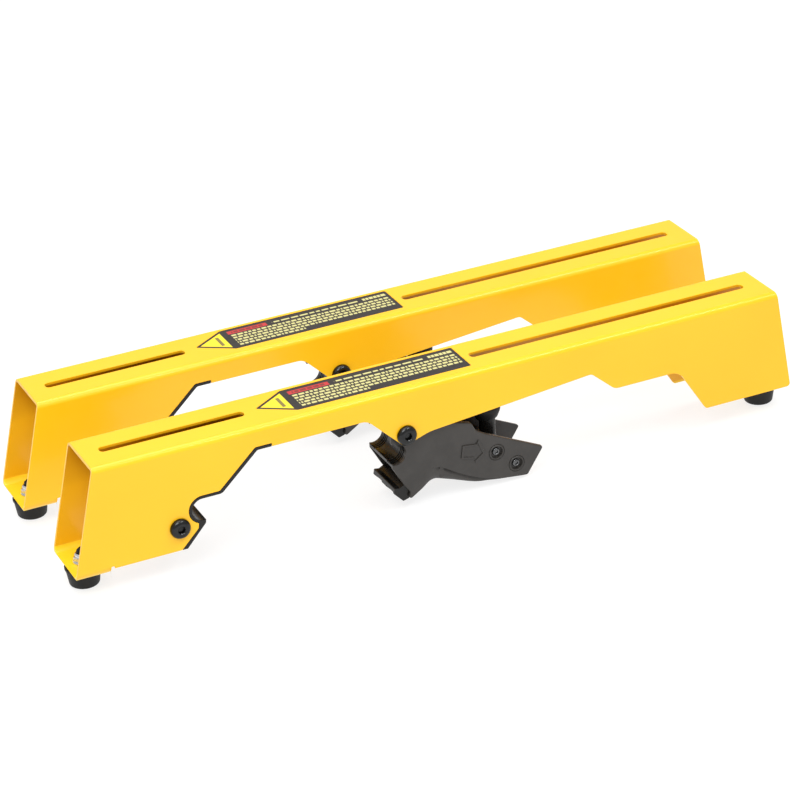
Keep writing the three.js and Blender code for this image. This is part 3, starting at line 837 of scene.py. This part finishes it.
def yellow_paint():
    """Powder coat with a soft orange peel, painted shade inside the channel and its slots, deepest
    under the top, and painted light on the bottom plates.
    """
    n = Nodes("yellow_paint")
    colour = n.mix(n.spread(n.noise(9, 3), 0, 1), PAINT_DEEP, PAINT_LIGHT)
    _, side, height = n.axes()
    sideways = n.math("ABSOLUTE", side)
    margin = 0.5

    def below(value, limit):
        return n.spread(value, 1, 0, (limit - 0.3) * MM, (limit + 0.3) * MM)

    # Painted shade: the inside of the channel darkens more the higher it is under the top, and the
    # slot walls darken a little.
    hollow = n.math("MULTIPLY", below(sideways, INSIDE + margin),
                    below(height, TOP_HEIGHT - SHEET + margin))
    slot = n.math("MULTIPLY", below(sideways, SLOT_WIDTH / 2 + margin),
                  below(height, TOP_HEIGHT - margin))
    depth = n.spread(height, 0.18, 0.6, 72 * MM, 98 * MM)
    painted_shade = n.math("MAXIMUM", n.math("MULTIPLY", hollow, depth), n.math("MULTIPLY", slot, 0.3))
    colour = n.mix(painted_shade, colour, PAINT_SHADE)
    # Painted light: the bottom plate inside the channel takes a brighter yellow that stands for
    # the light falling on it from above.
    plate = n.math("MULTIPLY", hollow, below(height, RELIEF_TOP))
    colour = n.mix(plate, colour, PAINT_LIT)
    peel = n.bump(n.noise(420, 2), 0.00006, 0.35)
    grain = n.bump(n.noise(2600, 2), 0.00002, 0.3, peel)
    return n.finish(Base_Color=colour, Roughness=n.spread(n.noise(60, 4), 0.3, 0.4),
                    Normal=grain, Specular_IOR_Level=0.4, Coat_Weight=0.2,
                    Coat_Roughness=0.12)


def satin(name, base, roughness, grain_scale, grain_depth, warm=1.0, contrast=0.35, shine=0.5):
    """Moulded nylon or rubber: mottled tone, an even grain and uneven gloss."""
    n = Nodes(name)
    mottle = n.spread(n.noise(55, 4, 0.6), 0, 1)
    colour = n.mix(mottle, grey(base * (1 - contrast / 2), warm),
                   grey(base * (1 + contrast / 2), warm))
    skin = n.bump(n.noise(grain_scale, 3, 0.6), grain_depth, 0.6)
    flow = n.bump(n.noise(130, 2), grain_depth * 3, 0.25, skin)
    gloss = n.spread(n.noise(210, 3), roughness - 0.05, roughness + 0.07)
    return n.finish(Base_Color=colour, Roughness=gloss, Normal=flow, Specular_IOR_Level=shine)


def metal(name, base, roughness, warm=1.0):
    """Plated or oxidised steel: brushed roughness with faint handling marks."""
    n = Nodes(name)
    mottle = n.spread(n.noise(180, 4, 0.6), 0, 1)
    colour = n.mix(mottle, grey(base * 0.82, warm), grey(base * 1.1, warm))
    stretch = n.add("ShaderNodeMapping")
    n.feed(stretch.inputs["Vector"], n.place)
    stretch.inputs["Scale"].default_value = (1, 24, 1)
    brush = n.add("ShaderNodeTexNoise")
    n.feed(brush.inputs["Vector"], stretch.outputs["Vector"])
    n.feed(brush.inputs["Scale"], 260)
    marks = n.spread(brush.outputs["Fac"], roughness - 0.06, roughness + 0.1)
    skin = n.bump(n.noise(1500, 3), 0.00002, 0.35)
    return n.finish(Base_Color=colour, Roughness=marks, Normal=skin, Metallic=1.0)


VINYL_DARK, VINYL_LIGHT = (0.024, 0.019, 0.016, 1), (0.034, 0.027, 0.023, 1)
PALE_INK, YELLOW_INK = (0.74, 0.68, 0.28, 1), (0.9, 0.68, 0.03, 1)
RED_INK, BROWN_INK, GREY_INK = (0.5, 0.035, 0.035, 1), (0.12, 0.03, 0.02, 1), (0.1, 0.08, 0.05, 1)


def printed_label():
    """Dark vinyl with a yellow arrowhead, a red block and rows of plain bars."""
    n = Nodes("printed_label")
    along, side, _ = n.axes()
    x = n.math("MULTIPLY", along, 1 / MM)
    y = n.math("SUBTRACT", n.math("MULTIPLY", side, 1 / MM), LABEL_MIDDLE)
    sideways = n.math("ABSOLUTE", y)

    def within(value, low, high, edge=0.12):
        rise = n.spread(value, 0, 1, low - edge, low + edge)
        fall = n.spread(value, 1, 0, high - edge, high + edge)
        return n.math("MULTIPLY", rise, fall)

    slant = n.math("MULTIPLY", n.math("SUBTRACT", x, 150), 15 / 22.4)
    arrow = n.math("MULTIPLY", n.spread(n.math("SUBTRACT", slant, sideways), 0, 1, -0.1, 0.1),
                   within(x, 140, 172.4))
    red = n.math("MULTIPLY", within(x, 178.2, 213.2), within(y, 8.9, 14.8))

    def words(row, word, seed, gap):
        """Bars of uneven length along x, different in each row."""
        cells = n.add("ShaderNodeTexVoronoi", voronoi_dimensions="1D",
                      feature="DISTANCE_TO_EDGE")
        place = n.math("ADD", n.math("DIVIDE", x, word), n.math("MULTIPLY", row, seed))
        n.feed(cells.inputs["W"], place)
        n.feed(cells.inputs["Scale"], 1.0)
        return n.spread(cells.outputs["Distance"], 0, 1, gap, gap + 0.05)

    text_top, row_pitch, text_end, short_by = 7.9, 4.7, 321, 83
    rows = n.math("DIVIDE", n.math("SUBTRACT", text_top, y), row_pitch)
    row = n.math("FLOOR", rows)
    across = within(n.math("FRACT", rows), 0.16, 0.76, 0.06)
    last = n.math("GREATER_THAN", row, 3.5)
    end = n.math("SUBTRACT", text_end, n.math("MULTIPLY", last, short_by))
    body = n.math("MULTIPLY", across, words(row, 4.4, 7.31, 0.1))
    body = n.math("MULTIPLY", body, within(y, text_top - 5 * row_pitch, text_top))
    body = n.math("MULTIPLY", body, n.spread(n.math("SUBTRACT", end, x), 0, 1, -0.2, 0.2))
    body = n.math("MULTIPLY", body, within(x, 179.5, 330))
    head = n.math("MULTIPLY", within(y, 10.9, 13.2), words(1.0, 7.5, 3.7, 0.08))
    head = n.math("MULTIPLY", head, within(x, 218, 296))
    title = n.math("MULTIPLY", within(y, 10.6, 14.6), words(2.0, 3.6, 1.9, 0.07))
    title = n.math("MULTIPLY", title, within(x, 300.5, 321.3))
    slab = n.math("MULTIPLY", within(y, 10.2, 13.5), words(2.0, 5.2, 5.3, 0.08))
    slab = n.math("MULTIPLY", slab, within(x, 181.5, 210.5))
    tick = n.math("MULTIPLY", within(x, 165.6, 168.6), within(sideways, -1, 8.5))
    pale = n.math("MAXIMUM", body, n.math("MAXIMUM", head, title))

    colour = n.mix(n.spread(n.noise(300, 3), 0, 1), VINYL_DARK, VINYL_LIGHT)
    for mask, strength, ink in ((pale, 0.82, PALE_INK), (red, 1, RED_INK), (slab, 0.75, BROWN_INK),
                                (arrow, 1, YELLOW_INK), (tick, 0.85, GREY_INK)):
        colour = n.mix(n.math("MULTIPLY", mask, strength), colour, ink)
    skin = n.bump(n.noise(900, 2), 0.00002, 0.3)
    return n.finish(Base_Color=colour, Roughness=n.spread(n.noise(140, 3), 0.36, 0.48),
                    Normal=skin, Specular_IOR_Level=0.3)


MATERIALS = {
    "yellow_paint": yellow_paint(),
    "printed_label": printed_label(),
    "black_nylon": satin("black_nylon", 0.007, 0.26, 2200, 0.00001, 1.1, shine=0.34),
    "lever_nylon": satin("lever_nylon", 0.033, 0.34, 1900, 0.00003, 1.1, shine=0.42),
    "foot_rubber": satin("foot_rubber", 0.007, 0.5, 1500, 0.00005, 1.03, shine=0.3),
    "black_steel": metal("black_steel", 0.04, 0.2, 0.98),
    # Painted highlight: a paler copy of the black steel, used for the handle's screws.
    "painted_highlight_steel": metal("painted_highlight_steel", 0.13, 0.2, 0.98),
    "zinc_steel": metal("zinc_steel", 0.72, 0.24),
    "spring_steel": metal("spring_steel", 0.3, 0.3),
}
# The handle's screws look paler than the other black screws: they get a paler copy of the black
# steel, a painted highlight for the glints on their heads.
LOOKS = {"handle_front_screw": "painted_highlight_steel", "handle_rear_screw": "painted_highlight_steel"}


# ---- pieces ----------------------------------------------------------------
def shaded(mesh, angle=32):
    """Scales a shape to metres and shades it smooth except across sharp edges."""
    mesh.transform(Matrix.Scale(MM, 4))
    mesh.shade_smooth()
    mesh.set_sharp_from_angle(angle=math.radians(angle))
    return mesh


big_screw = dict(head=8.35, head_height=4.8, shank=4.75, length=64.5, key=3.2,
                 key_depth=2.8, thread=50, pitch=1.5)
sunk_y = LEVER_HALF - HEAD_SINK + TOUCH
nut_y = LEVER_HALF - NUT_SINK + TOUCH
small_screw = dict(head=3.4, head_height=1.8, shank=2.2, length=sunk_y + nut_y + 1.7,
                   key=1.5, key_depth=1.1, thread=30, pitch=0.8)
wall_y = HALF + TOUCH
grip = INSIDE - TOUCH
hook_x, hook_z = HOOK_SCREW
pivot_x, pivot_z = PIVOT

SHAPES = {
    "channel": (channel(), "yellow_paint"),
    "label": (label(), "printed_label"),
    "hook_liner": (hook_liner(), "black_nylon"),
    "torsion_spring": (torsion_spring(), "spring_steel"),
    "lever_near_half": (lever_half(-1), "lever_nylon"),
    "lever_far_half": (lever_half(1), "lever_nylon"),
    "clamp_jaw": (clamp_jaw(), "black_nylon"),
    "stop_arm": (stop_arm(), "black_nylon"),
    "stop_bumper": (stop_bumper(), "foot_rubber"),
    "far_washer": (lever_washer(1), "black_nylon"),
    "near_washer": (lever_washer(-1), "black_nylon"),
}
for name, x, z in (("hook", hook_x, hook_z), ("pivot", pivot_x, pivot_z)):
    SHAPES[f"{name}_screw"] = (moved(button_screw(**big_screw), x, -wall_y, z), "black_steel")
    SHAPES[f"{name}_nut"] = (moved(hex_nut(8.2, 6.2, 5.1), x, wall_y, z), "black_steel")
    cross_tube = tube(5.15, TUBE_OUTSIDE, -grip, grip)
    SHAPES[f"{name}_tube"] = (moved(cross_tube, x, 0, z), "zinc_steel")
for name, x, plate in (("front", FRONT_FOOT_X, PLATE_BOTTOM), ("rear", REAR_FOOT_X, WALL_BOTTOM)):
    foot_nut = moved(lock_nut(7.4, 8, 4.2), x, 0, plate + SHEET + TOUCH)
    SHAPES[f"{name}_foot"] = (moved(foot(plate - TOUCH), x), "foot_rubber")
    SHAPES[f"{name}_foot_stud"] = (moved(stud(plate + STUD_REACH), x), "black_steel")
    SHAPES[f"{name}_foot_nut"] = (foot_nut, "zinc_steel")
for name, (x, z) in zip(("front", "rear"), HANDLE_SCREWS):
    screw = moved(button_screw(**small_screw), x, -sunk_y, z)
    SHAPES[f"handle_{name}_screw"] = (screw, "black_steel")
    SHAPES[f"handle_{name}_nut"] = (moved(hex_nut(4.2, 2, 2.5), x, nut_y, z), "black_steel")

for name, (mesh, slot) in SHAPES.items():
    mesh.name = name
    shaded(mesh)
    mesh.materials.clear()
    mesh.materials.append(MATERIALS[LOOKS.get(name, slot)])

for side in ("near", "far"):
    low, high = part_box(f"{side}_pivot_tube")
    middle = (low + high) / 2
    origin = middle - Vector((pivot_x, 0, pivot_z)) * MM
    for name, (mesh, slot) in SHAPES.items():
        node = f"{side}_{name}"
        blended = name == "torsion_spring"
        piece = bpy.data.objects.new(f"{node}_piece", mesh.copy() if blended else mesh)
        bpy.context.scene.collection.objects.link(piece)
        piece.location = origin
        weighted = piece.modifiers.new("normals", "WEIGHTED_NORMAL")
        weighted.keep_sharp = True
        if blended:
            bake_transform(piece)
        else:
            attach(piece, frame["nodes"][node]["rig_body"])
        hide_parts(node)


# ---- floor, light and camera -----------------------------------------------
def stage():
    """A pale floor that glows faintly, so that it stays white and its shadows soft."""
    n = Nodes("studio_floor")
    tone = n.mix(n.noise(1.5, 2), grey(0.2), grey(0.24))
    mesh = bpy.data.meshes.new("floor")
    reach = 14
    mesh.from_pydata([(-reach, -reach, 0), (reach, -reach, 0), (reach, reach, 0),
                      (-reach, reach, 0)], [], [(0, 1, 2, 3)])
    floor = bpy.data.objects.new("floor", mesh)
    floor.location.z = -0.0003
    mesh.materials.append(n.finish(Base_Color=tone, Roughness=0.85, Emission_Strength=0.8,
                                   Emission_Color=(1, 1, 1, 1)))
    bpy.context.scene.collection.objects.link(floor)


def soft_box(name, place, size, power):
    """A rectangular light aimed at the object's middle."""
    light = bpy.data.lights.new(name, "AREA")
    light.shape = "RECTANGLE"
    light.size, light.size_y = size
    light.energy = power
    item = bpy.data.objects.new(name, light)
    item.location = place
    item.rotation_euler = (-Vector(place)).to_track_quat("-Z", "Y").to_euler()
    bpy.context.scene.collection.objects.link(item)


def studio():
    world = bpy.data.worlds.new("studio")
    bpy.context.scene.world = world
    world.use_nodes = True
    background = world.node_tree.nodes["Background"]
    background.inputs["Color"].default_value = (1, 1, 1, 1)
    background.inputs["Strength"].default_value = 0.65
    soft_box("key", (-0.9, -1.1, 1.7), (1.1, 1.1), 21)
    soft_box("top", (-0.1, 0.2, 2.6), (1.8, 1.4), 33)
    soft_box("edge", (0.8, -1.0, 1.8), (1.1, 0.3), 13)


# The camera was solved from the brackets' edges and corners in the photograph.
CAMERA_PLACE = Vector((-0.8606, -2.0145, 1.1483))
CAMERA_RIGHT = Vector((0.906267, -0.418809, -0.057264))
CAMERA_UP = Vector((0.234671, 0.385813, 0.892232))


def camera():
    lens = bpy.data.cameras.new("camera")
    lens.sensor_width = 36
    lens.lens = 133.8
    lens.clip_end = 60
    item = bpy.data.objects.new("camera", lens)
    back = CAMERA_RIGHT.cross(CAMERA_UP)
    turn = Matrix((CAMERA_RIGHT, CAMERA_UP, back)).transposed().to_4x4()
    item.matrix_world = Matrix.Translation(CAMERA_PLACE) @ turn
    bpy.context.scene.collection.objects.link(item)
    bpy.context.scene.camera = item


stage()
studio()
camera()
bpy.context.scene.view_settings.view_transform = "Standard"
